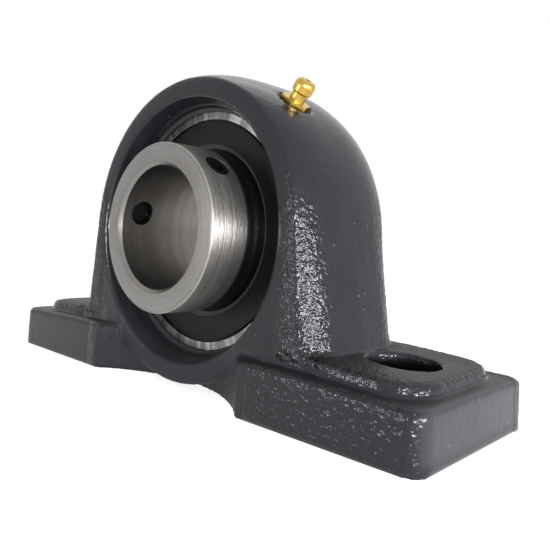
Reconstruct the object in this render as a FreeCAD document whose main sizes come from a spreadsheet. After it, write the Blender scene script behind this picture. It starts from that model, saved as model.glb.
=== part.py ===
"""Pillow block bearing: a cast two-bolt housing with a self-aligning, grease-fed ball bearing insert.

Millimetres, +Z up. X runs along the base, the long side of the inner ring with its set screws faces -Y,
and the origin is on the base face, straight below the middle of the shaft axis, which runs along Y.
"""
import FreeCAD, Part
import math
import os
import Sketcher

Vector = FreeCAD.Vector
Rotation = FreeCAD.Rotation
Placement = FreeCAD.Placement

SHEET = "Sizes"

# Driving dimensions, in millimetres and degrees. Each is a cell of the sheet, under its own name.
SIZES = {
    # Cast housing: the base with its two feet
    "shaft_height": 49.2,          # base face to shaft axis
    "foot_end": 20.8,              # from a bolt slot's middle to the foot's end
    "base_width": 55,
    "base_shift": 1.5,             # from the ring's middle to the base's middle, towards the rear
    "base_corner": 5,              # plan radius of the feet's corners
    "bolt_spacing": 137,
    "slot_width": 17,
    "slot_length": 20,
    "waist_width": 27.5,           # base width at the middle, between the two scallops
    "waist_radius": 50,            # plan radius of the scallops
    "waist_edge": 2.5,             # rounding where a scallop meets the foot's side
    "foot_root": 15,               # height of the foot's rim beside the pedestal
    "foot_tip": 13.8,              # height of the foot's rim at its end
    "foot_edge": 1.5,              # rounding of the rim
    "pad_inset": 4.5,              # from the foot's end to the end of the raised bolt pad
    "pad_width": 44.5,
    "pad_corner": 11,
    "pad_root": 18.8,              # height of the pad beside the pedestal
    "pad_tip": 17.2,               # height of the pad at its end
    "pad_edge": 1.6,
    # Cast housing: the ring and its pedestal
    "ring_width": 41.8,
    "mouth_radius": 41.8,          # edge of the opening in each ring face
    "ring_wall": 6,                # from that edge to the outline of the ring faces
    "dome_wall": 9,                # the same to the outline at the parting plane, midway between the faces
    "crown_power": 3,              # how late the outline falls from the parting plane to the faces
    "flank_power": 8,              # the same for the lean of the pedestal's flanks
    "face_lean": 4,                # that lean at the ring faces, outward is positive
    "dome_lean": 10,               # the same at the parting plane
    "face_root": 2.4,              # radius between flank and pad at the ring faces
    "dome_root": 2,                # the same at the parting plane
    "rim_edge": 1.3,               # rounding of the ring's rim under the feet's height
    "mouth_depth": 4.6,            # depth of the cone inside that edge
    "relief_radius": 39.9,         # turned relief between the cone and the spherical seat
    "seat_width": 24,
    "seat_clearance": 0.05,        # between the spherical seat and the insert
    "loading_clearance": 0.4,      # around the insert, when it goes in crosswise through the rear slots
    "grease_groove": 7.6,          # width of the grease groove in the seat
    "grease_groove_depth": 0.8,
    # Grease nipple
    "nipple_angle": 38,            # from the vertical, towards +X
    "nipple_offset": -4.5,         # from the parting plane, towards the rear
    "spot_radius": 5.6,            # spot face under the nipple
    "spot_depth": 2,
    "nipple_thread": 6,            # diameter
    "thread_length": 6,
    "thread_clearance": 0.08,
    "nipple_hex": 8.6,             # across flats
    "hex_height": 2.6,
    "neck_radius": 2.5,
    "neck_height": 2.4,
    "head_radius": 3.2,
    "head_height": 4.4,
    "nipple_tip": 2.2,               # radius of the flat end
    "passage_radius": 0.9,
    "chamber_radius": 1.35,        # chamber of the check ball and its spring
    "check_ball": 2.4,             # diameter
    "spring_wire": 0.32,           # diameter
    "spring_turns": 5,
    # Insert: rings
    "sphere_diameter": 80,         # outside of the outer ring
    "outer_width": 22,
    "seal_seat_radius": 36.1,      # recess for the shield in the outer ring's side
    "seal_seat_depth": 2.5,
    "outer_land": 33.8,            # shoulder radius beside the outer raceway
    "oil_groove_width": 1.8,
    "oil_groove_depth": 0.6,
    "oil_hole": 1.5,               # diameter
    "oil_offset": -5.8,            # from the middle of the outer ring, towards the rear
    "bore_diameter": 38.1,
    "inner_front": 30.2,           # inner ring, from the middle of the balls to its long end
    "inner_rear": 19,
    "collar_radius": 26,           # outside of the inner ring
    "collar_chamfer": 0.6,
    "bore_chamfer": 1,
    # Insert: balls and cage
    "ball_count": 9,
    "ball_diameter": 12,
    "pitch_diameter": 60,
    "raceway_radius": 6.25,
    "ball_clearance": 0.03,
    "cage_inner": 28.2,
    "cage_outer": 31.8,
    "cage_sheet": 1,
    "pocket_clearance": 0.12,
    "rivet_diameter": 1.6,
    "rivet_head": 2.8,             # diameter
    "rivet_head_height": 0.6,
    "rivet_clearance": 0.04,
    # Insert: shields, lips and set screws
    "shield_inner": 27.6,
    "shield_outer": 35.2,          # edge of the shield's flat face
    "shield_sheet": 0.8,
    "shield_setback": 0.4,         # from the outer ring's side to the shield's face
    "shield_clearance": 0.02,
    "lip_clearance": 0.06,         # around the inner ring
    "lip_outer": 34.1,
    "lip_thickness": 1,
    "screw_diameter": 8,
    "screw_clearance": 0.06,
    "screw_setback": 8,            # from the long end's face to the screws' axes
    "screw_angle": 42.6,           # of the first screw, from the vertical towards +X
    "screw_spread": 120,           # between the two screws
    "screw_sink": 0.3,             # below the inner ring's outside
    "screw_tip_gap": 1.6,          # above the bore
    "screw_chamfer": 0.7,
    "screw_socket": 4,             # across flats
    "screw_socket_depth": 3.4,
}


class Size:
    """A length or an angle: its value, and the sheet expression that gives it."""

    def __init__(self, value, text):
        self.value = float(value)
        self.text = text

    def __add__(self, other):
        other = as_size(other)
        return Size(self.value + other.value, "(%s + %s)" % (self.text, other.text))

    def __sub__(self, other):
        other = as_size(other)
        return Size(self.value - other.value, "(%s - %s)" % (self.text, other.text))

    def __mul__(self, other):
        other = as_size(other)
        return Size(self.value * other.value, "(%s * %s)" % (self.text, other.text))

    def __truediv__(self, other):
        other = as_size(other)
        return Size(self.value / other.value, "(%s / %s)" % (self.text, other.text))

    def __neg__(self):
        return Size(-self.value, "(0 - %s)" % self.text)

    __radd__ = __add__
    __rmul__ = __mul__


def as_size(value):
    return value if isinstance(value, Size) else Size(value, repr(float(value)))


def root(size):
    return Size(math.sqrt(size.value), "sqrt(%s)" % size.text)


def sine(size):
    return Size(math.sin(math.radians(size.value)), "sin(%s)" % size.text)


def cosine(size):
    return Size(math.cos(math.radians(size.value)), "cos(%s)" % size.text)


def power(size, exponent):
    return Size(size.value ** exponent.value, "(%s ^ %s)" % (size.text, exponent.text))


def blend(start, end, weight):
    """The start value at weight 0 and the end value at weight 1."""
    return start + (end - start) * weight


def other_leg(hypotenuse, leg):
    """The second short side of a right-angled triangle."""
    return root(hypotenuse * hypotenuse - leg * leg)


# The document and its sheet

doc = FreeCAD.newDocument("PillowBlock")
sheet = doc.addObject("Spreadsheet::Sheet", SHEET)
for row, (name, value) in enumerate(SIZES.items(), start=1):
    sheet.set("A%d" % row, name)
    sheet.set("B%d" % row, str(value))
    sheet.setAlias("B%d" % row, name)
doc.recompute()


def size(name):
    return Size(sheet.get(name), "%s.%s" % (SHEET, name))


# Sizes that several pieces share

shaft_height = size("shaft_height")
slot_x = size("bolt_spacing") / 2
half_length = slot_x + size("foot_end")
half_width = size("base_width") / 2
ring_half = size("ring_width") / 2
ring_radius = size("mouth_radius") + size("ring_wall")
dome_radius = size("mouth_radius") + size("dome_wall")
nipple_seat = dome_radius - size("spot_depth")
sphere_radius = size("sphere_diameter") / 2
seat_radius = sphere_radius + size("seat_clearance")
seat_half = size("seat_width") / 2
outer_half = size("outer_width") / 2
bore_radius = size("bore_diameter") / 2
collar_radius = size("collar_radius")
pitch_radius = size("pitch_diameter") / 2
ball_radius = size("ball_diameter") / 2
raceway = size("raceway_radius")
screw_radius = size("screw_diameter") / 2
screw_y = size("screw_setback") - size("inner_front")
through = Size(1, "1")             # how far a cutting piece passes its face


# Helpers

def bind(item, **expressions):
    """Binds properties to sheet expressions. Two underscores in a name stand for a dot."""
    for name, value in expressions.items():
        item.setExpression(name.replace("__", "."), as_size(value).text)


def place(item, x=0, y=0, z=0):
    bind(item, Placement__Base__x=x, Placement__Base__y=y, Placement__Base__z=z)
    return item


def add(kind, label, **expressions):
    item = doc.addObject(kind, label)
    item.Label = label
    bind(item, **expressions)
    return item


def origin_plane(body, role):
    return [item for item in body.Origin.OriginFeatures if item.Role == role][0]


def new_sketch(body, plane, offset=0):
    sketch = body.newObject("Sketcher::SketchObject", body.Label + "_sketch")
    sketch.AttachmentSupport = [(origin_plane(body, plane), "")]
    sketch.MapMode = "FlatFace"
    bind(sketch, AttachmentOffset__Base__z=offset)
    return sketch


class Curve:
    """Makes the edge after a corner an arc of this radius, which bulges towards this point."""

    def __init__(self, radius, x, y):
        self.radius = as_size(radius)
        self.towards = Vector(as_size(x).value, as_size(y).value, 0)

    def middle(self, start, end):
        """The arc's middle point: the shorter arc, or the longer where the bulge point lies that far out."""
        chord_middle = (start + end) / 2
        half_chord = (end - start).Length / 2
        across = Vector(start.y - end.y, end.x - start.x, 0).normalize()
        side = 1 if (self.towards - chord_middle).dot(across) > 0 else -1
        drop = math.sqrt(max(self.radius.value ** 2 - half_chord ** 2, 0))
        long_way = (self.towards - chord_middle).Length > self.radius.value
        rise = self.radius.value + drop if long_way else self.radius.value - drop
        return chord_middle + across * side * rise


def hold(sketch, constraint, value):
    number = sketch.addConstraint(constraint)
    sketch.setExpression("Constraints[%d]" % number, value.text)


def draw(sketch, *outline):
    """Draws a closed outline of corners (x, y), with a Curve after each corner where an arc begins.

    Every corner is held by two sizes from the origin, and every arc by its radius.
    """
    corners = []
    curves = {}
    for item in outline:
        if isinstance(item, Curve):
            curves[len(corners) - 1] = item
        else:
            corners.append((as_size(item[0]), as_size(item[1])))
    points = [Vector(x.value, y.value, 0) for x, y in corners]
    first = sketch.GeometryCount
    ends = []
    for index, start in enumerate(points):
        end = points[(index + 1) % len(points)]
        if index not in curves:
            sketch.addGeometry(Part.LineSegment(start, end), False)
            ends.append((1, 2))
            continue
        middle = curves[index].middle(start, end)
        sketch.addGeometry(Part.Arc(start, middle, end), False)
        anticlockwise = (middle - start).cross(end - middle).z > 0
        ends.append((1, 2) if anticlockwise else (2, 1))
    for index, (x, y) in enumerate(corners):
        following = (index + 1) % len(corners)
        edge = first + index
        sketch.addConstraint(
            Sketcher.Constraint("Coincident", edge, ends[index][1], first + following, ends[following][0]))
        hold(sketch, Sketcher.Constraint("DistanceX", -1, 1, edge, ends[index][0], x.value), x)
        hold(sketch, Sketcher.Constraint("DistanceY", -1, 1, edge, ends[index][0], y.value), y)
    for index, curve in curves.items():
        hold(sketch, Sketcher.Constraint("Radius", first + index, curve.radius.value), curve.radius)


def extruded(label, plane, outline, length, offset=0, symmetric=False):
    body = add("PartDesign::Body", label)
    sketch = new_sketch(body, plane, offset)
    draw(sketch, *outline)
    pad = body.newObject("PartDesign::Pad", label + "_pad")
    pad.Profile = sketch
    pad.SideType = "Symmetric" if symmetric else "One side"
    bind(pad, Length=length)
    return body


def trimmed(body, outline, width):
    """Cuts an outline in the XZ plane across the whole width of a body."""
    sketch = new_sketch(body, "XZ_Plane")
    draw(sketch, *outline)
    pocket = body.newObject("PartDesign::Pocket", body.Label + "_pocket")
    pocket.Profile = sketch
    pocket.SideType = "Symmetric"
    bind(pocket, Length=width)
    return body


def rounded(body, radius, test):
    """Rounds the edges of a body that pass a test."""
    doc.recompute()
    before = body.Tip
    edges = ["Edge%d" % number for number, edge in enumerate(before.Shape.Edges, start=1) if test(edge)]
    if not edges:
        raise ValueError("no edge to round on %s" % body.Label)
    fillet = body.newObject("PartDesign::Fillet", body.Label + "_fillet")
    fillet.Base = (before, edges)
    bind(fillet, Radius=radius)
    return body


def turned(label, *outline, plane="YZ_Plane", axis="H_Axis"):
    """A body turned from an outline of (distance along the axis, radius) corners."""
    body = add("PartDesign::Body", label)
    sketch = new_sketch(body, plane)
    draw(sketch, *outline)
    revolution = body.newObject("PartDesign::Revolution", label + "_turned")
    revolution.Profile = sketch
    revolution.ReferenceAxis = (sketch, [axis])
    revolution.Angle = 360
    return body


def on_shaft(item, y=0):
    """Places a piece that is modelled about the shaft axis."""
    return place(item, y=y, z=shaft_height)


def combined(kind, label, items):
    item = add(kind, label)
    item.Shapes = list(items)
    return item


def fused(label, *items):
    return combined("Part::MultiFuse", label, items)


def common(label, *items):
    return combined("Part::MultiCommon", label, items)


def cut(label, base, *tools):
    item = add("Part::Cut", label)
    item.Base = base
    item.Tool = tools[0] if len(tools) == 1 else fused(label + "_tools", *tools)
    return item


def across(label, radius, start, length, rear=True):
    """A cylinder along Y on the shaft axis, from a start towards the rear or the front."""
    item = add("Part::Cylinder", label, Radius=radius, Height=length)
    item.Placement = Placement(Vector(0, 0, 0), Rotation(Vector(1, 0, 0), -90 if rear else 90))
    return on_shaft(item, start)


def radial(item, angle, distance, y=0):
    """Turns a piece so that its own Z points away from the shaft axis, and sets its distance from it."""
    item.Placement = Placement(Vector(0, 0, 0), Rotation(Vector(0, 1, 0), angle.value))
    bind(item, Placement__Rotation__Angle=angle)
    return place(item, distance * sine(angle), y, shaft_height + distance * cosine(angle))


def circled(item, angle, y=0):
    """Moves a piece to its place on the pitch circle."""
    return place(item, pitch_radius * sine(angle), y, shaft_height + pitch_radius * cosine(angle))


# Housing

def foot_plate():
    """Base with rounded feet, narrowed by a scallop on each side and sloping down towards its ends."""
    corner = size("base_corner")
    waist_half = size("waist_width") / 2
    waist = size("waist_radius")
    waist_x = other_leg(waist, waist + waist_half - half_width)
    inset_x = half_length - corner
    inset_y = half_width - corner
    outline = [
        (waist_x, -half_width),
        (inset_x, -half_width), Curve(corner, half_length, -half_width),
        (half_length, -inset_y),
        (half_length, inset_y), Curve(corner, half_length, half_width),
        (inset_x, half_width),
        (waist_x, half_width), Curve(waist, 0, 0),
        (-waist_x, half_width),
        (-inset_x, half_width), Curve(corner, -half_length, half_width),
        (-half_length, inset_y),
        (-half_length, -inset_y), Curve(corner, -half_length, -half_width),
        (-inset_x, -half_width),
        (-waist_x, -half_width), Curve(waist, 0, 0),
    ]
    root_z = size("foot_root")
    tip_z = size("foot_tip")
    body = extruded("foot_plate", "XY_Plane", outline, root_z)
    for side in (1, -1):
        trimmed(body, slope(side, half_length, root_z, tip_z), half_width * 3)
    rounded(body, size("waist_edge"),
            lambda edge: is_upright(edge) and abs(abs(edge.CenterOfMass.x) - waist_x.value) < 0.01)
    rounded(body, size("foot_edge"), lambda edge: on_top(edge, root_z, tip_z))
    return place(body, y=size("base_shift"))


def slope(side, end_x, root_z, tip_z):
    """The wedge above a surface that falls from the pedestal to an end."""
    drop = (root_z - tip_z) / (end_x - ring_radius)
    return [
        (ring_radius * side, root_z),
        ((end_x + through) * side, tip_z - drop),
        ((end_x + through) * side, root_z + through),
        (ring_radius * side, root_z + through),
    ]


def is_upright(edge):
    start, end = edge.Vertexes[0].Point, edge.Vertexes[-1].Point
    return abs(start.x - end.x) < 1e-4 and abs(start.y - end.y) < 1e-4


def on_top(edge, root_z, tip_z):
    """True for the outer edges of the top faces, and not for the crease between them."""
    points = [vertex.Point for vertex in edge.Vertexes]
    heights = [point.z for point in points]
    crease = len(points) == 2 and all(abs(abs(point.x) - ring_radius.value) < 1e-4 for point in points)
    return min(heights) > tip_z.value - 0.5 and max(heights) < root_z.value + 0.5 and not crease \
        and not is_upright(edge)


def bolt_pad(side):
    """Raised pad around one bolt slot. It narrows towards the pedestal, inside which its inner end lies."""
    end_x = half_length - size("pad_inset")
    pad_half = size("pad_width") / 2
    corner = size("pad_corner")
    inner_x = ring_radius * 0.85
    inner_half = ring_half * 0.9
    full_x = slot_x - size("slot_length") / 2
    low_z = size("foot_tip") / 2
    root_z = size("pad_root")
    outline = [
        (inner_x * side, -inner_half),
        (full_x * side, -pad_half),
        ((end_x - corner) * side, -pad_half), Curve(corner, end_x * side, -pad_half),
        (end_x * side, corner - pad_half),
        (end_x * side, pad_half - corner), Curve(corner, end_x * side, pad_half),
        ((end_x - corner) * side, pad_half),
        (full_x * side, pad_half),
        (inner_x * side, inner_half),
    ]
    body = extruded("pad_right" if side > 0 else "pad_left", "XY_Plane", outline, root_z - low_z, low_z)
    trimmed(body, slope(side, end_x, root_z, size("pad_tip")), pad_half * 3)
    rounded(body, size("pad_edge"),
            lambda edge: on_top(edge, root_z, size("pad_tip"))
            and abs(edge.CenterOfMass.x) > inner_x.value + 1)
    return place(body, y=size("base_shift"))


def pedestal_outline(radius, lean, root_radius):
    """Front outline of the dome and its flanks, which spread onto the feet in a concave radius."""
    foot_z = size("pad_root") - size("pad_edge") / 2
    low_z = size("foot_root") - 0.7
    tangent_x = radius * cosine(lean)
    tangent_z = shaft_height + radius * sine(lean)
    centre_x = (radius + root_radius - (foot_z + root_radius - shaft_height) * sine(lean)) / cosine(lean)
    flank_x = centre_x - root_radius * cosine(lean)
    flank_z = foot_z + root_radius - root_radius * sine(lean)
    return [
        (-centre_x, low_z),
        (centre_x, low_z),
        (centre_x, foot_z), Curve(root_radius, flank_x, foot_z),
        (flank_x, flank_z),
        (tangent_x, tangent_z), Curve(radius, 0, shaft_height + radius),
        (-tangent_x, tangent_z),
        (-flank_x, flank_z), Curve(root_radius, -flank_x, foot_z),
        (-centre_x, foot_z),
    ]


def pedestal():
    """Dome and pedestal, lofted from one ring face over the parting plane to the other."""
    body = add("PartDesign::Body", "pedestal")
    sketches = []
    for station in (-1, -0.95, -0.8, -0.5, 0, 0.5, 0.8, 0.95, 1):
        weight = power(as_size(abs(station)), size("crown_power"))
        radius = blend(dome_radius, ring_radius, weight)
        flank_weight = power(as_size(abs(station)), size("flank_power"))
        lean = blend(size("dome_lean"), size("face_lean"), flank_weight)
        root_radius = blend(size("dome_root"), size("face_root"), flank_weight)
        sketch = new_sketch(body, "XZ_Plane", ring_half * station)
        draw(sketch, *pedestal_outline(radius, lean, root_radius))
        sketches.append(sketch)
    loft = body.newObject("PartDesign::AdditiveLoft", "pedestal_loft")
    loft.Profile = sketches[0]
    loft.Sections = sketches[1:]
    return body


def on_ring_face(edge):
    return all(abs(abs(vertex.Point.y) - ring_half.value) < 1e-4 for vertex in edge.Vertexes) \
        and abs(abs(edge.CenterOfMass.y) - ring_half.value) < 1e-4


def ring_bottom():
    """Lower part of the round ring, which hangs over the scallops almost down to the base face."""
    chord_z = shaft_height - ring_radius * 0.55
    chord_x = other_leg(ring_radius, ring_radius * 0.55)
    outline = [(-chord_x, chord_z), Curve(ring_radius, 0, 0), (chord_x, chord_z)]
    body = extruded("ring_bottom", "XZ_Plane", outline, ring_half * 2, symmetric=True)
    return rounded(body, size("rim_edge"), lambda edge: on_ring_face(edge) and edge.CenterOfMass.z < chord_z.value - 0.1)


def bolt_slot(side):
    """Long hole, open through the foot and its pad."""
    slot_radius = size("slot_width") / 2
    run = (size("slot_length") - size("slot_width")) / 2
    height = size("pad_root") + through * 2
    label = "slot_right" if side > 0 else "slot_left"
    middle = add("Part::Box", label + "_middle", Length=run * 2, Width=slot_radius * 2, Height=height)
    middle_y = size("base_shift")
    pieces = [place(middle, slot_x * side - run, middle_y - slot_radius, -through)]
    for name, shift in (("outer", run), ("inner", -run)):
        end = add("Part::Cylinder", "%s_%s" % (label, name), Radius=slot_radius, Height=height)
        pieces.append(place(end, (slot_x + shift) * side, middle_y, -through))
    return fused(label, *pieces)


def seat_bore():
    """Opening through the housing: a cone in each face, a turned relief and the spherical seat between them."""
    mouth = size("mouth_radius")
    relief = size("relief_radius")
    relief_y = ring_half - size("mouth_depth")
    seat_edge = other_leg(seat_radius, seat_half)
    past = ring_half + through
    return on_shaft(turned(
        "seat_bore",
        (-past, 0), (-past, mouth), (-ring_half, mouth), (-relief_y, relief), (-seat_half, relief),
        (-seat_half, seat_edge), Curve(seat_radius, 0, seat_radius * 1.02), (seat_half, seat_edge),
        (seat_half, relief), (relief_y, relief), (ring_half, mouth), (past, mouth), (past, 0)))


def loading_slots():
    """Two slots from the rear, through which the insert goes in crosswise before it is turned to its place."""
    clearance = size("loading_clearance")
    radius = sphere_radius + clearance
    height = size("outer_width") + clearance * 2
    round_part = across("loading_round", radius, 0, ring_half + through)
    slab = add("Part::Box", "loading_slab", Length=radius * 2, Width=ring_half + through, Height=height)
    place(slab, -radius, 0, shaft_height - height / 2)
    return common("loading_slots", round_part, slab)


def ring_cutter(label, middle_y, width, inner, outer):
    return on_shaft(turned(label, (middle_y - width / 2, inner), (middle_y - width / 2, outer),
                           (middle_y + width / 2, outer), (middle_y + width / 2, inner)))


def nipple_holes():
    """Spot face, tapped hole and grease passage of the nipple."""
    angle = size("nipple_angle")
    offset = size("nipple_offset")
    thread_end = nipple_seat - size("thread_length") - through
    spot = add("Part::Cylinder", "spot_face", Radius=size("spot_radius"), Height=size("spot_depth") * 4)
    tapped = add("Part::Cylinder", "tapped_hole", Radius=size("nipple_thread") / 2, Height=nipple_seat - thread_end)
    passage = add("Part::Cylinder", "grease_passage", Radius=size("passage_radius"), Height=nipple_seat - sphere_radius)
    radial(spot, angle, nipple_seat, offset)
    radial(tapped, angle, thread_end, offset)
    radial(passage, angle, sphere_radius, offset)
    return [spot, tapped, passage]


def housing():
    casting = fused("casting", foot_plate(), bolt_pad(1), bolt_pad(-1), pedestal(), ring_bottom())
    groove_y = (size("nipple_offset") + size("oil_offset")) / 2
    grease_groove = ring_cutter("grease_groove", groove_y, size("grease_groove"),
                                sphere_radius - through, seat_radius + size("grease_groove_depth"))
    return cut("housing", casting, seat_bore(), loading_slots(), grease_groove,
               bolt_slot(1), bolt_slot(-1), *nipple_holes())


# Grease nipple, modelled along Z from its seat on the housing

def grease_nipple():
    thread = size("nipple_thread") / 2 - size("thread_clearance")
    bottom = -size("thread_length")
    hex_top = size("hex_height")
    neck = size("neck_radius")
    head_z = hex_top + size("neck_height")
    head = size("head_radius")
    top = head_z + size("head_height")
    passage = size("passage_radius")
    chamber = size("chamber_radius")
    shank = turned(
        "nipple_shank",
        (0, bottom), (thread, bottom), (thread, hex_top), (neck, hex_top), (neck, head_z),
        (head, head_z + (head - neck)), (head, head_z + size("head_height") / 2),
        Curve(size("head_height") / 2, head, top), (size("nipple_tip"), top), (0, top),
        plane="XZ_Plane", axis="V_Axis")
    bore = turned(
        "nipple_bore",
        (0, bottom - through), (passage, bottom - through), (passage, spring_seat_z), (chamber, spring_seat_z),
        (chamber, cone_z), (passage * 0.8, cone_z + (chamber - passage * 0.8)), (passage * 0.8, top + through),
        (0, top + through),
        plane="XZ_Plane", axis="V_Axis")
    hexagon = add("Part::Prism", "nipple_hexagon", Circumradius=size("nipple_hex") / (cosine(Size(30, "30")) * 2),
                  Height=hex_top)
    hexagon.Polygon = 6
    angle = size("nipple_angle")
    for item in (shank, bore, hexagon):
        radial(item, angle, nipple_seat, size("nipple_offset"))
    return cut("grease_nipple", fused("nipple_solid", shank, hexagon), bore)


spring_seat_z = size("hex_height") - size("neck_radius") / 4
cone_z = size("hex_height") + size("neck_height") + size("head_height") * 0.6
check_radius = size("check_ball") / 2
check_gap = size("ball_clearance")
check_z = cone_z + size("chamber_radius") - (check_radius + check_gap) * root(Size(2, "2"))


def check_ball():
    ball = add("Part::Sphere", "nipple_check_ball", Radius=check_radius)
    return radial(ball, size("nipple_angle"), nipple_seat + check_z, size("nipple_offset"))


def check_spring():
    """Coil spring that holds the check ball on its cone."""
    wire = size("spring_wire").value / 2
    coil = size("chamber_radius").value - wire - size("spring_wire").value
    low = spring_seat_z.value + wire
    high = (check_z - check_radius).value + wire
    turns = size("spring_turns").value
    helix = Part.makeHelix((high - low) / turns, high - low, coil)
    profile = Part.Wire([Part.makeCircle(wire, Vector(coil, 0, 0), Vector(0, 1, 0))])
    item = doc.addObject("Part::Feature", "nipple_spring")
    item.Shape = Part.Wire(helix.Edges).makePipeShell([profile], True, True)
    item.Label = "nipple_spring"
    return radial(item, size("nipple_angle"), nipple_seat + low, size("nipple_offset"))


# Insert: rings

def outer_ring():
    seal_radius = size("seal_seat_radius")
    seal_y = outer_half - size("seal_seat_depth")
    land = size("outer_land")
    face_radius = other_leg(sphere_radius, outer_half)
    groove_centre = pitch_radius + ball_radius + size("ball_clearance") - raceway
    groove_y = other_leg(raceway, land - groove_centre)
    ring = on_shaft(turned(
        "outer_ring_turned",
        (-outer_half, seal_radius), (-outer_half, face_radius), Curve(sphere_radius, 0, sphere_radius * 1.02),
        (outer_half, face_radius), (outer_half, seal_radius), (seal_y, seal_radius), (seal_y, land),
        (groove_y, land), Curve(raceway, 0, groove_centre + raceway), (-groove_y, land),
        (-seal_y, land), (-seal_y, seal_radius)))
    offset = size("oil_offset")
    groove_floor = other_leg(sphere_radius, offset) - size("oil_groove_depth")
    groove = ring_cutter("oil_groove", offset, size("oil_groove_width"), groove_floor, sphere_radius + through)
    hole = add("Part::Cylinder", "oil_hole", Radius=size("oil_hole") / 2, Height=sphere_radius - land + through * 2)
    radial(hole, size("nipple_angle"), land - through, offset)
    return cut("outer_ring", ring, groove, hole)


def inner_ring():
    front = -size("inner_front")
    rear = size("inner_rear")
    chamfer = size("collar_chamfer")
    bore_chamfer = size("bore_chamfer")
    groove_centre = pitch_radius - ball_radius - size("ball_clearance") + raceway
    groove_y = other_leg(raceway, groove_centre - collar_radius)
    ring = on_shaft(turned(
        "inner_ring_turned",
        (front, bore_radius + bore_chamfer), (front, collar_radius - chamfer), (front + chamfer, collar_radius),
        (-groove_y, collar_radius), Curve(raceway, 0, groove_centre - raceway), (groove_y, collar_radius),
        (rear - chamfer, collar_radius), (rear, collar_radius - chamfer), (rear, bore_radius + bore_chamfer),
        (rear - bore_chamfer, bore_radius), (front + bore_chamfer, bore_radius)))
    holes = []
    for number, angle in screw_angles():
        hole = add("Part::Cylinder", "screw_hole_%d" % number, Radius=screw_radius, Height=collar_radius)
        holes.append(radial(hole, angle, bore_radius / 2, screw_y))
    return cut("inner_ring", ring, *holes)


def screw_angles():
    first = size("screw_angle")
    return [(1, first), (2, first - size("screw_spread"))]


def set_screw(number, angle):
    """Headless screw with a hexagon socket, resting just clear of the bore."""
    start = bore_radius + size("screw_tip_gap")
    end = collar_radius - size("screw_sink")
    chamfer = size("screw_chamfer")
    radius = screw_radius - size("screw_clearance")
    depth = size("screw_socket_depth")
    label = "set_screw_%d" % number
    tip = add("Part::Cone", label + "_tip", Radius1=radius - chamfer, Radius2=radius, Height=chamfer)
    shank = add("Part::Cylinder", label + "_shank", Radius=radius, Height=end - start - chamfer)
    socket = add("Part::Prism", label + "_socket", Circumradius=size("screw_socket") / (cosine(Size(30, "30")) * 2),
                 Height=depth + through)
    socket.Polygon = 6
    radial(tip, angle, start, screw_y)
    radial(shank, angle, start + chamfer, screw_y)
    radial(socket, angle, end - depth, screw_y)
    return cut(label, fused(label + "_solid", tip, shank), socket)


# Insert: balls and cage

def ball_angles(shift=0):
    """Angles around the pitch circle, on the balls or, shifted by a half, between them."""
    count = size("ball_count")
    return [as_size(number + shift) * 360 / count for number in range(int(count.value))]


def balls():
    made = []
    for number, angle in enumerate(ball_angles(), start=1):
        made.append(circled(add("Part::Sphere", "ball_%d" % number, Radius=ball_radius), angle))
    return made


def cage_half(rear):
    """Pressed ribbon: a flat ring with a round pocket over each ball."""
    label = "cage_rear" if rear else "cage_front"
    sheet_thickness = size("cage_sheet")
    pocket = ball_radius + size("pocket_clearance")
    outside = pocket + sheet_thickness
    band = cut(label + "_band", across(label + "_outside", size("cage_outer"), 0, outside, rear),
               across(label + "_inside", size("cage_inner"), 0, outside, rear))
    flat = cut(label + "_flat", across(label + "_flat_outside", size("cage_outer"), 0, sheet_thickness, rear),
               across(label + "_flat_inside", size("cage_inner"), 0, sheet_thickness, rear))
    domes = []
    pockets = []
    for number, angle in enumerate(ball_angles(), start=1):
        domes.append(circled(add("Part::Sphere", "%s_dome_%d" % (label, number), Radius=outside), angle))
        pockets.append(circled(add("Part::Sphere", "%s_pocket_%d" % (label, number), Radius=pocket), angle))
    for number, angle in enumerate(ball_angles(0.5), start=1):
        hole = add("Part::Cylinder", "%s_hole_%d" % (label, number),
                   Radius=size("rivet_diameter") / 2 + size("rivet_clearance"), Height=sheet_thickness * 4)
        hole.Placement = Placement(Vector(0, 0, 0), Rotation(Vector(1, 0, 0), -90))
        pockets.append(circled(hole, angle, -sheet_thickness * 2))
    raised = common(label + "_raised", band, fused(label + "_domes", *domes))
    return cut(label, fused(label + "_pressed", flat, raised), *pockets)


def cage_rivets():
    """One rivet between each two balls, headed on both sides."""
    half = size("cage_sheet")
    head = size("rivet_head_height")
    pieces = []
    for number, angle in enumerate(ball_angles(0.5), start=1):
        for name, radius, start, length in (
                ("shank", size("rivet_diameter") / 2, -half, half * 2),
                ("front", size("rivet_head") / 2, -half - head, head),
                ("rear", size("rivet_head") / 2, half, head)):
            piece = add("Part::Cylinder", "rivet_%s_%d" % (name, number), Radius=radius, Height=length)
            piece.Placement = Placement(Vector(0, 0, 0), Rotation(Vector(1, 0, 0), -90))
            pieces.append(circled(piece, angle, start))
    return fused("cage_rivets", *pieces)


# Insert: shields and lips

def shield(side):
    """Pressed steel shield in the recess of the outer ring's side."""
    sheet_thickness = size("shield_sheet")
    face_y = (outer_half - size("shield_setback")) * side
    back_y = (outer_half - size("shield_setback") - sheet_thickness) * side
    seat_y = (outer_half - size("seal_seat_depth")) * side
    edge = size("shield_outer")
    rim = size("seal_seat_radius") - size("shield_clearance")
    inner = size("shield_inner")
    return on_shaft(turned(
        "shield_rear" if side > 0 else "shield_front",
        (face_y, inner), (face_y, edge), (back_y, edge), (back_y, rim), (seat_y, rim),
        (seat_y, edge - sheet_thickness), (back_y, edge - sheet_thickness), (back_y, inner)))


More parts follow.
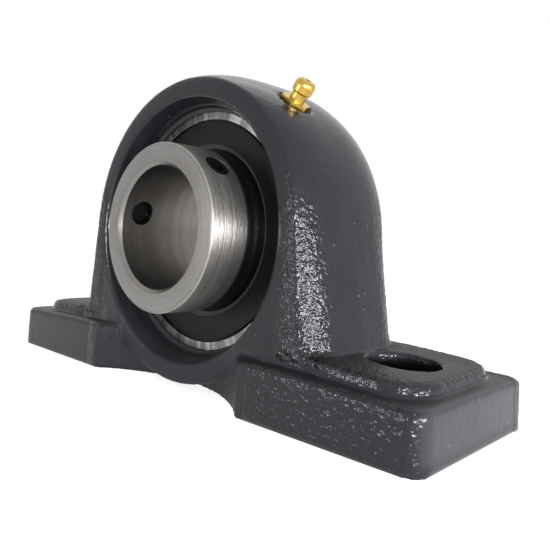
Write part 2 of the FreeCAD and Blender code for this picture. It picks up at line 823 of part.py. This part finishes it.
def lip(side):
    """Rubber lip behind the shield."""
    back_y = (outer_half - size("shield_setback") - size("shield_sheet")) * side
    inner_y = (outer_half - size("shield_setback") - size("shield_sheet") - size("lip_thickness")) * side
    inside = collar_radius + size("lip_clearance")
    return on_shaft(turned(
        "lip_rear" if side > 0 else "lip_front",
        (back_y, inside + size("lip_thickness") / 2), (back_y, size("lip_outer")),
        (inner_y, size("lip_outer")), (inner_y, inside)))


# Build, check and write

nodes = [housing(), grease_nipple(), check_ball(), check_spring(), outer_ring(), inner_ring()]
nodes += balls()
nodes += [cage_half(False), cage_half(True), cage_rivets()]
nodes += [shield(-1), shield(1), lip(-1), lip(1)]
nodes += [set_screw(number, angle) for number, angle in screw_angles()]
doc.recompute()

faults = ["%s %s" % (item.Label, item.State) for item in doc.Objects
          if "Invalid" in item.State or "Error" in item.State]
faults += ["%s has no valid shape" % item.Label for item in nodes
           if item.Shape.isNull() or not item.Shape.isValid() or not item.Shape.Solids]
if faults:
    raise RuntimeError("; ".join(faults))

os.makedirs("parts", exist_ok=True)
for item in nodes:
    item.Shape.exportStep("parts/%s.step" % item.Label)
    print("%-18s %2d solids %10.1f mm3" % (item.Label, len(item.Shape.Solids), item.Shape.Volume))
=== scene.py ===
# %% [markdown]
# A pillow block bearing holds a turning shaft above a machine's frame. An iron casting stands on two
# slotted feet, and a steel ball bearing sits in its round opening. The solids come ready-made from the
# CAD frame. This lesson gives them the surfaces of the real product: sand-cast iron under thick glossy
# paint, ground and turned steel, brass and rubber.

# %% Load the frame
import math

import bmesh
import bpy
import numpy as np
from mathutils import Matrix, Vector, noise


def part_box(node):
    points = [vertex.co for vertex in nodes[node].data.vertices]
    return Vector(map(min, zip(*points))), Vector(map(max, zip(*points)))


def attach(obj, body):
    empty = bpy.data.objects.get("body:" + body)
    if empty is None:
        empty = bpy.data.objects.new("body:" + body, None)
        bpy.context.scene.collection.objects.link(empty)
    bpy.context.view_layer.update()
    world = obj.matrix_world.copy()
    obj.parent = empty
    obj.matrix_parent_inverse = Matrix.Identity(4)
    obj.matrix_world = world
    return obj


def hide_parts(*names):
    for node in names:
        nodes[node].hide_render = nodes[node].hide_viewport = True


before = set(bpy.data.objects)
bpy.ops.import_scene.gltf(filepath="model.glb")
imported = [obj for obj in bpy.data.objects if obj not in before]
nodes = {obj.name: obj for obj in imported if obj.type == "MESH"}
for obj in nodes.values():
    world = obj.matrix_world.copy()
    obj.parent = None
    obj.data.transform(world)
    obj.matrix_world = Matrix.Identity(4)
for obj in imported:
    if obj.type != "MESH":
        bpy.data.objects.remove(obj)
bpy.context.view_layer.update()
MM = 0.001
print("CAD nodes:", len(nodes))

# %% [markdown]
# The finishes and the cast skin need a few sizes of the block. All of them could be typed in, but a size
# that is read from the frame can't drift from the solids. The outer ring gives the shaft's height, and
# the inner ring the radius of its long side, the collar. The few sizes that no box shows are written out
# where they are used.

# %% Sizes
ring_low, ring_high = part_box("outer_ring")
shaft_z = (ring_low.z + ring_high.z) / 2
house_low, house_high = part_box("housing")
collar_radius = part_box("inner_ring")[1].x
print("shaft height %.1f mm, collar radius %.1f mm" % (shaft_z / MM, collar_radius / MM))

# %% [markdown]
# The photograph was taken from in front of the right foot, level with the shaft. A camera set by eye
# brings the ring into place and loses the feet. So its place, direction, roll and lens were fitted
# together to the block's outline in the picture. The picture is cropped from a larger one, so the lens
# axis isn't in its middle, and a small shift says so.

# %% Camera
IMAGE_SIDE = 550
CAMERA_PLACE = Vector((151.09, -140.07, 50.08)) * MM
AZIMUTH = math.radians(42.59)
ELEVATION = math.radians(-3.3)
ROLL = math.radians(-3.1)
FOCAL_PIXELS = 603.5
AXIS_PIXEL = (278.76, 195.54)


def look_camera():
    """A camera whose -Z looks along azimuth and elevation, with its X axis rolled."""
    back = Vector((math.sin(AZIMUTH) * math.cos(ELEVATION), -math.cos(AZIMUTH) * math.cos(ELEVATION),
                   math.sin(ELEVATION)))
    level = (-back).cross(Vector((0, 0, 1))).normalized()
    down = (-back).cross(level)
    right = math.cos(ROLL) * level + math.sin(ROLL) * down
    up = -(math.cos(ROLL) * down - math.sin(ROLL) * level)
    data = bpy.data.cameras.new("photo_camera")
    data.sensor_width = 36
    data.lens = data.sensor_width * FOCAL_PIXELS / IMAGE_SIDE
    data.shift_x = (IMAGE_SIDE / 2 - AXIS_PIXEL[0]) / IMAGE_SIDE
    data.shift_y = (AXIS_PIXEL[1] - IMAGE_SIDE / 2) / IMAGE_SIDE
    data.clip_start = 0.01
    camera = bpy.data.objects.new("photo_camera", data)
    bpy.context.scene.collection.objects.link(camera)
    camera.matrix_world = Matrix.Translation(CAMERA_PLACE) @ Matrix((right, up, back)).transposed().to_4x4()
    bpy.context.scene.camera = camera
    return camera


camera = look_camera()
print("lens %.1f mm, shift %.3f %.3f" % (camera.data.lens, camera.data.shift_x, camera.data.shift_y))

# %% [markdown]
# The skin of a sand casting has no crisp edge, and the CAD casting has only those. Bevels on so many
# blended faces would tear. A voxel remesh spreads points evenly over the whole skin instead, and all
# that comes after it only moves these points.

# %% Even skin
VOXEL = 0.6 * MM


def evenly_meshed(source, voxel):
    """A copy of an object's mesh with evenly spaced points."""
    copy = bpy.data.objects.new("copy", source.data.copy())
    bpy.context.scene.collection.objects.link(copy)
    remesh = copy.modifiers.new("even", "REMESH")
    remesh.mode = "VOXEL"
    remesh.voxel_size = voxel
    mesh = bpy.data.meshes.new_from_object(copy.evaluated_get(bpy.context.evaluated_depsgraph_get()))
    bpy.data.objects.remove(copy)
    return mesh


def read_vectors(mesh, name):
    vectors = np.zeros(len(mesh.vertices) * 3)
    mesh.vertices.foreach_get(name, vectors)
    return vectors.reshape(-1, 3)


def write_points(mesh, points):
    mesh.vertices.foreach_set("co", points.ravel())
    mesh.update()


casting = evenly_meshed(nodes["housing"], VOXEL)
points = read_vectors(casting, "co")
print("cast skin: %d points" % len(points))

# %% [markdown]
# The feet's rear corners are tighter on the real block than the front ones, and the solid has the same
# round on all four. Corners glued on with a boolean would leave seams. A point in a corner's round lies
# on a circle, so moving it out to a squarer curve fills the corner and keeps the walls where they are.

# %% Tighter rear corners
CORNER_ROUND = 5 * MM
CORNER_POWER = 5


def tighter_rear_corners(points):
    """Fills the round corners at the back of the feet towards the square."""
    across = (np.abs(points[:, 0]) - house_high.x + CORNER_ROUND) / CORNER_ROUND
    behind = (points[:, 1] - house_high.y + CORNER_ROUND) / CORNER_ROUND
    corner = (across > 0) & (behind > 0)
    across = across[corner]
    behind = behind[corner]
    reach = np.hypot(across, behind)
    square = ((across / reach) ** CORNER_POWER + (behind / reach) ** CORNER_POWER) ** (-1 / CORNER_POWER)
    grow = (square - 1) * np.clip(reach, 0, 1) ** 2 * CORNER_ROUND
    moved = points.copy()
    moved[corner, 0] += np.sign(points[corner, 0]) * across * grow
    moved[corner, 1] += behind * grow
    return moved


round_points = points
points = tighter_rear_corners(points)
print("corners filled by up to %.2f mm" % (np.abs(points - round_points).max() / MM))

# %% [markdown]
# The mouth and seat are bored and the underside is milled, so those faces hardly move. Everything else
# may melt. A share for each point says which is which: 1 on a machined face, 0 on the raw skin, and a
# smooth step between them, so that no ridge shows where they meet.

# %% Machined places
RING_HALF = 20.9 * MM
MOUTH_RADIUS = 41.8 * MM


def rise(value, low, high):
    """0 below low, 1 above high and smooth between them."""
    share = np.clip((value - low) / (high - low), 0, 1)
    return share * share * (3 - 2 * share)


def fall(value, low, high):
    return 1 - rise(value, low, high)


x, y, z = (points / MM).T
aside = np.abs(x)
depth = np.abs(y)
radius = np.hypot(x, z - shaft_z / MM)
mouth = fall(radius, MOUTH_RADIUS / MM + 0.1, MOUTH_RADIUS / MM + 0.9) * (depth < RING_HALF / MM + 1)
underside = fall(z, 0.2, 1.0)
machined = np.maximum(mouth, underside)
print("machined: %.0f%% of the skin" % (100 * machined.mean()))

# %% [markdown]
# A smoothing brush would soften the edges, but a script has no hand. Moving each point towards the
# middle of its neighbours, a few times over, does the same on the whole casting at once.

# %% Melted edges
SMOOTHING_ROUNDS = 6
MACHINED_HOLD = 0.8


def averaged(points, ends, freedom, rounds):
    """Moves each point half way to the middle of its neighbours, as far as its freedom lets it."""
    count = np.bincount(ends.ravel(), minlength=len(points))[:, None]
    for _ in range(rounds):
        total = np.zeros_like(points)
        for axis in range(3):
            total[:, axis] = (np.bincount(ends[:, 0], points[ends[:, 1], axis], len(points))
                              + np.bincount(ends[:, 1], points[ends[:, 0], axis], len(points)))
        points = points + (total / count - points) * 0.5 * freedom[:, None]
    return points


def edge_ends(mesh):
    ends = np.zeros(len(mesh.edges) * 2, int)
    mesh.edges.foreach_get("vertices", ends)
    return ends.reshape(-1, 2)


crisp_points = points
points = averaged(points, edge_ends(casting), 1 - machined * MACHINED_HOLD, SMOOTHING_ROUNDS)
write_points(casting, points)
normals = read_vectors(casting, "normal")
print("edges melted by up to %.2f mm" % (np.abs(points - crisp_points).max() / MM))

# %% [markdown]
# Sand leaves pebbles on a casting. They are coarsest on the outer corners of the flanks, and also show on
# the right foot's long faces, beside the ring and along the pads' edges. They could be noise of one
# strength all over, but the dome and the ring are nearly smooth. So each point gets a pebble share from
# the zone that it lies in, and a zone's edges are given in millimetres.

# %% Where the pebbles are
EVERYWHERE = 0.06
corner = rise(aside, 41, 46) * rise(depth, 7, 17) * fall(z, 50, 72) * rise(z, 15, 18)
foot_front = 0.62 * rise(depth, 22, 25) * fall(z, 15, 17) * rise(x, 37, 39)
left_wall = 0.7 * rise(-x, 26, 30) * fall(-x, 38, 41) * rise(depth, 12, 15) * fall(z, 16, 22)
pad_edge = 0.4 * rise(z, 14.5, 15.5) * fall(z, 18, 19) * rise(aside, 44, 48)
zones = [corner, foot_front, left_wall, pad_edge, np.full(len(x), EVERYWHERE)]
pebble = np.maximum.reduce(zones) * (1 - machined)
print("pebbled: %.0f%% of the skin" % (100 * (pebble > EVERYWHERE).mean()))

# %% [markdown]
# A bump in the material would leave the outline smooth, so the pebbles are real relief as well. Hills
# of three sizes are added along the normals, with a little height on the smooth skin and more on the
# pebbled one. The points then stay inside the solid's own box, so the casting doesn't grow.

# %% Pebbles
HILLS_MM = ((1.3, 0.7), (0.7, 0.4), (6, 0.6))
SMOOTH_RELIEF_MM = 0.04
PEBBLE_RELIEF_MM = 0.13


def sand_hills(point):
    """Noise with hills of three sizes, each with a share of its own."""
    return sum(share * noise.noise(point / (size * MM)) for size, share in HILLS_MM)


hills = np.array([sand_hills(Vector(point)) for point in points])
relief = hills * (SMOOTH_RELIEF_MM + PEBBLE_RELIEF_MM * pebble) * (1 - machined) * MM
points = points + normals * relief[:, None]
points = np.clip(points, np.array(house_low), np.array(house_high))
write_points(casting, points)
casting.polygons.foreach_set("use_smooth", [True] * len(casting.polygons))
print("relief: %.2f to %.2f mm" % (relief.min() / MM, relief.max() / MM))

# %% [markdown]
# Dust settles on the pads and in the sheltered foot of the ring, and dulls the gloss there. The ends of the
# feet are painted greyer than the rest, as painted light on the faces that a lamp would brighten. A painted
# mask could hold this, but it needs a flat layout of the skin. Numbers kept at the points need none, and
# the material reads them by name.

# %% Dull places, and painted light on the feet's ends
sheltered = rise(depth, 8, 12) * fall(aside, 34, 38) * fall(z, 10, 20)
pad_top = rise(normals[:, 2], 0.8, 0.95) * fall(z, 20, 22)
dull = np.maximum(pad_top, 1.8 * sheltered)
# Painted light: the ends of the feet are marked here, and the paint turns them greyer.
dusty = rise(aside, 86.5, 88.8) * rise(z, 1, 4)
for name, values in (("pebble", pebble), ("dull", dull), ("dusty", dusty)):
    casting.attributes.new(name, "FLOAT", "POINT").data.foreach_set("value", values)
    print("%s: %.2f on average" % (name, values.mean()))

# %% [markdown]
# A material is a small program of nodes. They could be made and linked one by one, but that takes a page
# for each finish. Arithmetic is shorter: a wire from a node is added, multiplied and powered like a
# number here, and each step adds its Math node behind the scenes.

# %% Wires
class Wire:
    """A shader value. Arithmetic on it adds Math nodes to its material."""

    def __init__(self, bench, socket):
        self.bench = bench
        self.socket = socket

    def __add__(self, other):
        return self.bench.math("ADD", self, other)

    def __sub__(self, other):
        return self.bench.math("SUBTRACT", self, other)

    def __rsub__(self, other):
        return self.bench.math("SUBTRACT", other, self)

    def __mul__(self, other):
        return self.bench.math("MULTIPLY", self, other)

    def __truediv__(self, other):
        return self.bench.math("DIVIDE", self, other)

    def __rtruediv__(self, other):
        return self.bench.math("DIVIDE", other, self)

    def __pow__(self, other):
        return self.bench.math("POWER", self, other)

    def __rpow__(self, other):
        return self.bench.math("POWER", other, self)

    def __abs__(self):
        return self.bench.math("ABSOLUTE", self)

    def clamp(self):
        return self.bench.math("MULTIPLY", self, 1, clamp=True)

    __radd__ = __add__
    __rmul__ = __mul__


print("wires ready")

# %% [markdown]
# Every node of every material is made on the same bench, by one method. It takes the node's type, its
# settings, which have to be there before the sockets are, and what goes into the sockets. A finish is a
# bench with a new material on it.

# %% Bench and finishes
def set_stops(color_ramp, stops):
    while len(color_ramp.elements) < len(stops):
        color_ramp.elements.new(0.5)
    for element, (position, level) in zip(color_ramp.elements, stops):
        element.position = position
        element.color = (level, level, level, 1)


class NodeBench:
    """The one place where nodes are made, for a material or for the world."""

    def __init__(self, tree):
        self.tree = tree

    def fill(self, node, sockets):
        for name, value in sockets.items():
            if isinstance(value, Wire):
                self.tree.links.new(value.socket, node.inputs[name])
            else:
                node.inputs[name].default_value = value

    def node(self, kind, settings=None, sockets=None, output=0):
        """Adds a node: its settings first, then the values or links of its sockets."""
        node = self.tree.nodes.new(kind)
        for name, value in (settings or {}).items():
            if name == "stops":
                set_stops(node.color_ramp, value)
            else:
                setattr(node, name, value)
        self.fill(node, sockets or {})
        return Wire(self, node.outputs[output])

    def math(self, operation, *values, clamp=False):
        settings = {"operation": operation, "use_clamp": clamp}
        return self.node("ShaderNodeMath", settings, dict(enumerate(values)))


class Finish(NodeBench):
    """A material under construction."""

    def __init__(self, name):
        self.material = bpy.data.materials.new(name)
        self.material.use_nodes = True
        super().__init__(self.material.node_tree)
        self.shader = self.tree.nodes["Principled BSDF"]
        self.place = self.node("ShaderNodeTexCoord", output="Object")

    def surface(self, **sockets):
        self.fill(self.shader, {name.replace("_", " "): value for name, value in sockets.items()})
        return self.material


print("bench ready")

# %% [markdown]
# Real surfaces vary in clouds: oil, dust, grain. Image textures could show that, but they need files and
# they stretch. Noise that is worked out from the place in the solid has neither fault, and its scale can
# be given in blobs for each millimetre.

# %% Clouds, ramps and bumps
MIX_FACTOR, MIX_FIRST, MIX_SECOND = 0, 6, 7
MIX_RESULT = 2


def grey(level, warmth=0.0):
    return (level * (1 + warmth), level, level * (1 - warmth), 1)


def mixed(finish, factor, first, second):
    """A colour between two colours. The Mix node's colour sockets share their names with others."""
    return finish.node("ShaderNodeMix", {"data_type": "RGBA"},
                       {MIX_FACTOR: factor, MIX_FIRST: first, MIX_SECOND: second}, output=MIX_RESULT)


def cloudy(finish, vector, scale, detail, roughness, dimensions="3D"):
    return finish.node("ShaderNodeTexNoise", {"noise_dimensions": dimensions},
                       {"Vector": vector, "Scale": scale, "Detail": detail, "Roughness": roughness},
                       output="Fac")


def speckle(finish, per_mm, detail=2.0, roughness=0.5):
    """Cloudy noise with about this many blobs in a millimetre."""
    return cloudy(finish, finish.place, per_mm / MM, detail, roughness)


def ramp(finish, value, *stops):
    return finish.node("ShaderNodeValToRGB", {"stops": stops}, {"Fac": value})


def bumped(finish, height, depth_mm):
    return finish.node("ShaderNodeBump", {}, {"Height": height, "Distance": depth_mm * MM, "Strength": 1.0},
                       output="Normal")


print("clouds, ramps and bumps ready")

# %% [markdown]
# The paint is nearly black, thick and glossy. On smooth places it shows broad soft reflections, and each
# pebble holds a small bright one. A clear coat would be the usual way, but a coat has a smooth normal of
# its own and hides the pebbles. So the paint itself turns a little metallic where the pebbles are, a bump
# makes them finer than the mesh can, and thin dust and a few pale flecks lie on top.

# %% Paint
PAINT_DARK = (0.010, 0.010, 0.014, 1)
PAINT_LIGHT = (0.016, 0.016, 0.020, 1)
# This grey serves both the dust and the painted light on the feet's ends.
DUST_AND_END_LIGHT_GREY = (0.033, 0.035, 0.040, 1)
FLECK_GREY = (0.20, 0.20, 0.21, 1)
GLAZE_GREY = (0.040, 0.040, 0.044, 1)
PAINT_RELIEF_MM = 0.5


def skin_share(finish, name):
    """A number that the casting's mesh keeps at its points."""
    return finish.node("ShaderNodeAttribute", {"attribute_name": name}, output="Fac")


def painted_iron():
    """Nearly black gloss paint, which breaks up into sparkling bumps where the skin is pebbled."""
    finish = Finish("painted_cast_iron")
    cloud = speckle(finish, 0.08)
    share = skin_share(finish, "pebble")
    dust = ramp(finish, speckle(finish, 0.9, detail=4.0, roughness=0.7), (0.55, 0.0), (0.75, 1.0))
    # Dust, and painted light on the feet's ends, which lightens them towards the grey.
    dust_and_end_light = (dust * 0.2 + skin_share(finish, "dusty") * (0.6 + cloud * 0.5)).clamp()
    paint = mixed(finish, dust_and_end_light, mixed(finish, cloud, PAINT_DARK, PAINT_LIGHT), DUST_AND_END_LIGHT_GREY)
    flecks = ramp(finish, speckle(finish, 0.8, detail=0.5), (0.79, 0.0), (0.83, 1.0))
    paint = mixed(finish, flecks * 0.5, paint, FLECK_GREY)
    glaze = ((share - 0.3) * 1.4).clamp() * 0.95
    height = speckle(finish, 0.75, detail=1.6) * share * 1.35 + speckle(finish, 0.35, detail=3.0) * 0.16
    return finish.surface(
        Base_Color=mixed(finish, glaze, paint, GLAZE_GREY),
        Roughness=0.14 + cloud * 0.06 + dust * 0.06 + skin_share(finish, "dull") * 0.25 + share * 0.1,
        Specular_IOR_Level=0.25,
        Metallic=glaze,
        Normal=bumped(finish, height, PAINT_RELIEF_MM))


print("paint written")

# %% [markdown]
# The finished skin now stands for the CAD housing, which stays behind for the simulation. A casting
# modelled apart would have to be fitted to the seat and the slots. This one is the solid's own skin, so
# it is in place already, and it rides on the same body.

# %% Casting in place
piece = bpy.data.objects.new("cast_housing", casting)
bpy.context.scene.collection.objects.link(piece)
casting.materials.clear()
casting.materials.append(painted_iron())
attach(piece, "housing")
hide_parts("housing")
print("%s: %d faces" % (piece.name, len(casting.polygons)))

# %% [markdown]
# Turned and ground steel has fine rings around its axis. A picture of brushed metal can't follow both a
# face and a cylinder. The distance from the shaft's axis draws the rings on end faces, and the place
# along the axis draws them on cylinders, so one noise serves both.

# %% Turning marks
def place_parts(finish):
    """The three coordinates of the place on the surface, in metres."""
    first = finish.node("ShaderNodeSeparateXYZ", {}, {"Vector": finish.place})
    return [Wire(finish, socket) for socket in first.socket.node.outputs]


def shaft_distance(finish):
    """Radius from the shaft axis and place along it, in millimetres."""
    x, y, z = place_parts(finish)
    height = z - shaft_z
    radius = (x * x + height * height) ** 0.5
    return radius / MM, y / MM


def turning_marks(finish, per_mm, wobble=0.15):
    """Rings cut by a tool, on faces and on cylinders alike."""
    radius, along = shaft_distance(finish)
    line = finish.node("ShaderNodeCombineXYZ", {}, {"X": radius * per_mm, "Y": along * per_mm,
                                                    "Z": speckle(finish, 0.05) * wobble})
    return cloudy(finish, line, 1.0, 3.0, 0.65)


def radial_streaks(finish, count):
    """Noise that changes only with the angle around the shaft, so it draws lines along the radius."""
    x, _, z = place_parts(finish)
    radius, _ = shaft_distance(finish)
    turn = finish.node("ShaderNodeCombineXYZ", {}, {"X": x / MM / radius * count,
                                                    "Y": (z - shaft_z) / MM / radius * count})
    return cloudy(finish, turn, 1.0, 3.0, 0.7, dimensions="2D")


print("turning marks ready")

# %% [markdown]
# Both rings are hardened steel, ground bright, and a trace of dried oil browns them in soft patches and
# in a few wide rings. Two whole materials would repeat the oil. The rings differ in the colour and marks
# under it, so one helper lays the same oil over both. The CAD nodes keep their shapes, and a finish is
# put on each by name.

# %% Oiled steel
def dress(material, *names):
    """Puts one finish on CAD nodes."""
    for name in names:
        data = nodes[name].data
        data.materials.clear()
        data.materials.append(material)
    print("%s on %s" % (material.name, ", ".join(names)))


def oil_film(finish):
    return speckle(finish, 0.12, detail=4.0, roughness=0.6)


def oiled_steel(finish, level, colour, roughness, height, depth_mm):
    """Bright steel of this colour, with oil stains and wide grinding rings."""
    stain = ramp(finish, speckle(finish, 0.35, detail=5.0, roughness=0.7), (0.5, 0.0), (0.8, 1.0))
    rings = ramp(finish, turning_marks(finish, 0.9, wobble=0.5), (0.42, 1.0), (0.58, 0.0))
    oil = (stain * 0.3 + rings * 0.3).clamp()
    return finish.surface(
        Base_Color=mixed(finish, oil, colour, grey(level * 0.45, 0.14)),
        Metallic=1.0,
        Roughness=roughness,
        Normal=bumped(finish, height, depth_mm))


print("oiled steel ready")

# %% [markdown]
# The ground face of the outer ring shows as a bright band around the shield, crossed by streaked
# reflections along the radius. Anisotropy that varies over the face could stretch its reflections, but it
# isn't used. Instead, light and dark stripes along the radius are painted into the colour as painted
# reflections, the same from every side.

# %% Outer ring
OUTER_LEVEL = 0.22


def ground_ring_steel():
    finish = Finish("ground_ring_steel")
    marks = turning_marks(finish, 3.0)
    # Painted reflections: light and dark stripes along the radius.
    painted_reflection_streaks = ramp(finish, radial_streaks(finish, 9), (0.45, 0.0), (0.68, 1.0))
    colour = mixed(finish, painted_reflection_streaks, grey(OUTER_LEVEL * 0.7), grey(OUTER_LEVEL * 2.2))
    roughness = 0.2 + marks * 0.12 + oil_film(finish) * 0.08
    return oiled_steel(finish, OUTER_LEVEL, colour, roughness, marks, 0.012)


dress(ground_ring_steel(), "outer_ring")

# %% [markdown]
# The inner ring has three surfaces: a ground end face, a bore that the tool left darker, and an outside
# turned so bright that it shines. Near the shield, the root of that outside is painted dark, partly as
# grease and partly as painted shade from the shield and the ring. It could be three materials on one solid,
# but the CAD node has one. The distance from the shaft tells the surfaces apart, and the place along the
# shaft finds the root. The deep ring bump spreads the lamps' reflections across the turning marks.

# %% Inner ring
BORE_RADIUS = 19.05 * MM
FACE_LEVEL = 0.24
BORE_LEVEL = 0.22
OUTSIDE_LEVEL = 0.42
ROOT_SHADE_AND_GREASE_LEVEL = 0.05
ROOT_SHADE_AND_GREASE_START_MM = -17.3


def turned_ring_steel():
    finish = Finish("turned_ring_steel")
    marks = turning_marks(finish, 4.0)
    film = oil_film(finish)
    radius, along = shaft_distance(finish)
    off_bore = ((radius - BORE_RADIUS / MM - 0.3) / 0.4).clamp()
    outside = ((radius - collar_radius / MM + 0.5) / 0.3).clamp()
    root = ((along - ROOT_SHADE_AND_GREASE_START_MM) / 1.2).clamp()
    face = mixed(finish, film, grey(FACE_LEVEL * 0.8, 0.03), grey(FACE_LEVEL, 0.012))
    colour = mixed(finish, off_bore, grey(BORE_LEVEL, 0.04), face)
    colour = mixed(finish, outside, colour, grey(OUTSIDE_LEVEL, 0.04))
    # The root beside the shield is painted dark: painted shade, and grease.
    colour = mixed(finish, outside * root, colour, grey(ROOT_SHADE_AND_GREASE_LEVEL))
    roughness = 0.2 + marks * 0.12 + film * 0.08 + outside * 0.08
    return oiled_steel(finish, FACE_LEVEL, colour, roughness, marks * (0.5 + outside * 1.5), 0.09)


dress(turned_ring_steel(), "inner_ring")

# %% [markdown]
# Inside the bearing are polished balls in a cage of pressed strip, and the nipple's own ball and spring.
# They hardly show, so plain finishes would pass from the front. They still get a film and a grain, since
# a reused part may be opened.

# %% Balls, cage and spring
def ball_steel():
    finish = Finish("ball_steel")
    film = speckle(finish, 0.3, detail=3.0)
    return finish.surface(Base_Color=mixed(finish, film, grey(0.55), grey(0.7)), Metallic=1.0,
                          Roughness=0.06 + film * 0.08)


def pressed_steel():
    finish = Finish("pressed_steel")
    skin = speckle(finish, 0.8, detail=4.0)
    return finish.surface(Base_Color=mixed(finish, skin, grey(0.32), grey(0.5)), Metallic=1.0,
                          Roughness=0.3 + skin * 0.2, Normal=bumped(finish, skin, 0.02))


dress(ball_steel(), *["ball_%d" % number for number in range(1, 10)], "nipple_check_ball")
dress(pressed_steel(), "cage_front", "cage_rear", "cage_rivets", "nipple_spring")

# %% [markdown]
# The shields are blackened sheet steel. Around their holes a thin bright ring is painted: partly the bare
# edge that the press cut, and partly a painted highlight where that lip catches the light. A separate wire
# of bright metal would catch the light too, but the edge is part of the sheet. So the distance from the
# shaft draws it in the colour of the same material.

# %% Shields
BARE_EDGE_AND_HIGHLIGHT_MM = 1.6


def shield_steel():
    """Blackened sheet steel, with a thin bright ring at its hole: the bare cut edge and a painted
    highlight.
    """
    finish = Finish("shield_steel")
    radius, _ = shaft_distance(finish)
    marks = turning_marks(finish, 2.0)
    # A thin bright ring, partly the bare cut edge and partly a painted highlight.
    edge = (1 - abs(radius - (collar_radius / MM + BARE_EDGE_AND_HIGHLIGHT_MM)) / 0.2).clamp()
    skin = speckle(finish, 1.2, detail=3.0)
    return finish.surface(
        Base_Color=mixed(finish, edge, mixed(finish, skin, grey(0.004), grey(0.009)), grey(0.12)),
        Metallic=0.1,
        Specular_IOR_Level=0.12,
        Roughness=0.34 + marks * 0.12,
        Normal=bumped(finish, skin * 0.5 + marks * 0.5, 0.02))


dress(shield_steel(), "shield_front", "shield_rear")

# %% [markdown]
# Rubber lips close the gap between shield and inner ring, and two black screws clamp the shaft. One dark
# finish could serve for both, but gloss tells them apart: the rubber is matt and even, and the screws'
# black oxide has a metal's sheen and a fine grain.

# %% Lips and screws
def lip_rubber():
    finish = Finish("lip_rubber")
    skin = speckle(finish, 2.5, detail=3.0)
    return finish.surface(Base_Color=mixed(finish, skin, grey(0.012), grey(0.022)),
                          Roughness=0.55 + skin * 0.15, Normal=bumped(finish, skin, 0.03))


def black_oxide():
    finish = Finish("black_oxide_steel")
    skin = speckle(finish, 1.5, detail=4.0)
    return finish.surface(Base_Color=mixed(finish, skin, grey(0.006), grey(0.02, 0.03)), Metallic=0.8,
                          Roughness=0.28 + skin * 0.2, Normal=bumped(finish, skin, 0.02))


dress(lip_rubber(), "lip_front", "lip_rear")
dress(black_oxide(), "set_screw_1", "set_screw_2")

# %% [markdown]
# The grease nipple is brass, a little tarnished. One yellow would look like plastic, so two brass
# colours mix in a fine cloud, and brown tarnish lies over them in larger patches.

# %% Grease nipple
BRASS_DEEP = (0.46, 0.29, 0.05, 1)
BRASS_PALE = (0.66, 0.46, 0.12, 1)
TARNISH = (0.30, 0.17, 0.03, 1)


def nipple_brass():
    finish = Finish("nipple_brass")
    skin = speckle(finish, 0.9, detail=4.0, roughness=0.6)
    patches = ramp(finish, speckle(finish, 0.4, detail=5.0, roughness=0.7), (0.45, 0.0), (0.75, 1.0))
    brass = mixed(finish, skin, BRASS_DEEP, BRASS_PALE)
    return finish.surface(Base_Color=mixed(finish, patches * 0.4, brass, TARNISH), Metallic=1.0,
                          Roughness=0.2 + skin * 0.15, Normal=bumped(finish, skin, 0.02))


dress(nipple_brass(), "grease_nipple")

# %% [markdown]
# A product photograph has a bright, plain surround: a white floor and a white sky. More light would
# whiten them, and would wash out the object too. So both are white only where they are looked at,
# straight or in a reflection, and give less light than they show. The floor keeps the object's shadow.

# %% Floor and world
FLOOR_HALF = 3
FLOOR_GAP = 0.02 * MM


def seen_share(bench):
    """1 where a surface is looked at, straight or in a reflection, and 0 where it only gives light."""
    rays = [bench.node("ShaderNodeLightPath", output="Is %s Ray" % kind)
            for kind in ("Camera", "Glossy", "Transmission")]
    return (rays[0] + rays[1] + rays[2]).clamp()


def white_floor():
    mesh = bpy.data.meshes.new("floor")
    shape = bmesh.new()
    bmesh.ops.create_grid(shape, x_segments=1, y_segments=1, size=FLOOR_HALF)
    shape.to_mesh(mesh)
    shape.free()
    floor = bpy.data.objects.new("floor", mesh)
    floor.location.z = -FLOOR_GAP
    bpy.context.scene.collection.objects.link(floor)
    finish = Finish("white_floor")
    mesh.materials.append(finish.surface(
        Base_Color=(0.7, 0.7, 0.7, 1), Roughness=0.9, Specular_IOR_Level=0.0,
        Emission_Color=mixed(finish, seen_share(finish), (0, 0, 0, 1), (1, 1, 1, 1)),
        Emission_Strength=0.8))


def white_world():
    """White where it is seen, straight or in a reflection, and dimmer as a light."""
    world = bpy.data.worlds.new("studio")
    world.use_nodes = True
    sky = NodeBench(world.node_tree)
    strength = 0.45 + seen_share(sky) * 0.55
    sky.fill(world.node_tree.nodes["Background"], {"Color": (1, 1, 1, 1), "Strength": strength})
    bpy.context.scene.world = world


white_floor()
white_world()
print("floor and world are white")

# %% [markdown]
# The photograph's lamps show in the collar's bright band and in the sparkle on the flank. Large lamps
# near the camera would light both, and every smooth face with them. These are small and low, and each
# stands where the one surface that should shine mirrors it into the camera. A wide weak one lights the
# dome from above.

# %% Lamps
def softbox(name, place, watts, width, height, aim=(0, 0, 49)):
    """A rectangular lamp, placed and aimed in millimetres, at the bearing unless told otherwise."""
    data = bpy.data.lights.new(name, "AREA")
    data.shape = "RECTANGLE"
    data.size = width * MM
    data.size_y = height * MM
    data.energy = watts
    lamp = bpy.data.objects.new(name, data)
    lamp.location = Vector(place) * MM
    lamp.rotation_euler = (Vector(aim) * MM - lamp.location).to_track_quat("-Z", "Y").to_euler()
    bpy.context.scene.collection.objects.link(lamp)
    print("%s: %.1f W" % (name, watts))


softbox("key_lamp", (480, -370, 58), watts=3.0, width=60, height=50)
softbox("side_lamp", (582, -15, 52), watts=3.5, width=280, height=56)
softbox("front_lamp", (-200, -520, 60), watts=0.8, width=80, height=60, aim=(60, -20, 10))
softbox("top_lamp", (-250, 350, 700), watts=0.4, width=400, height=400)

# %% [markdown]
# The colours are meant to show as they are written, so the view has no film curve.

# %% View
bpy.context.scene.view_settings.view_transform = "Standard"
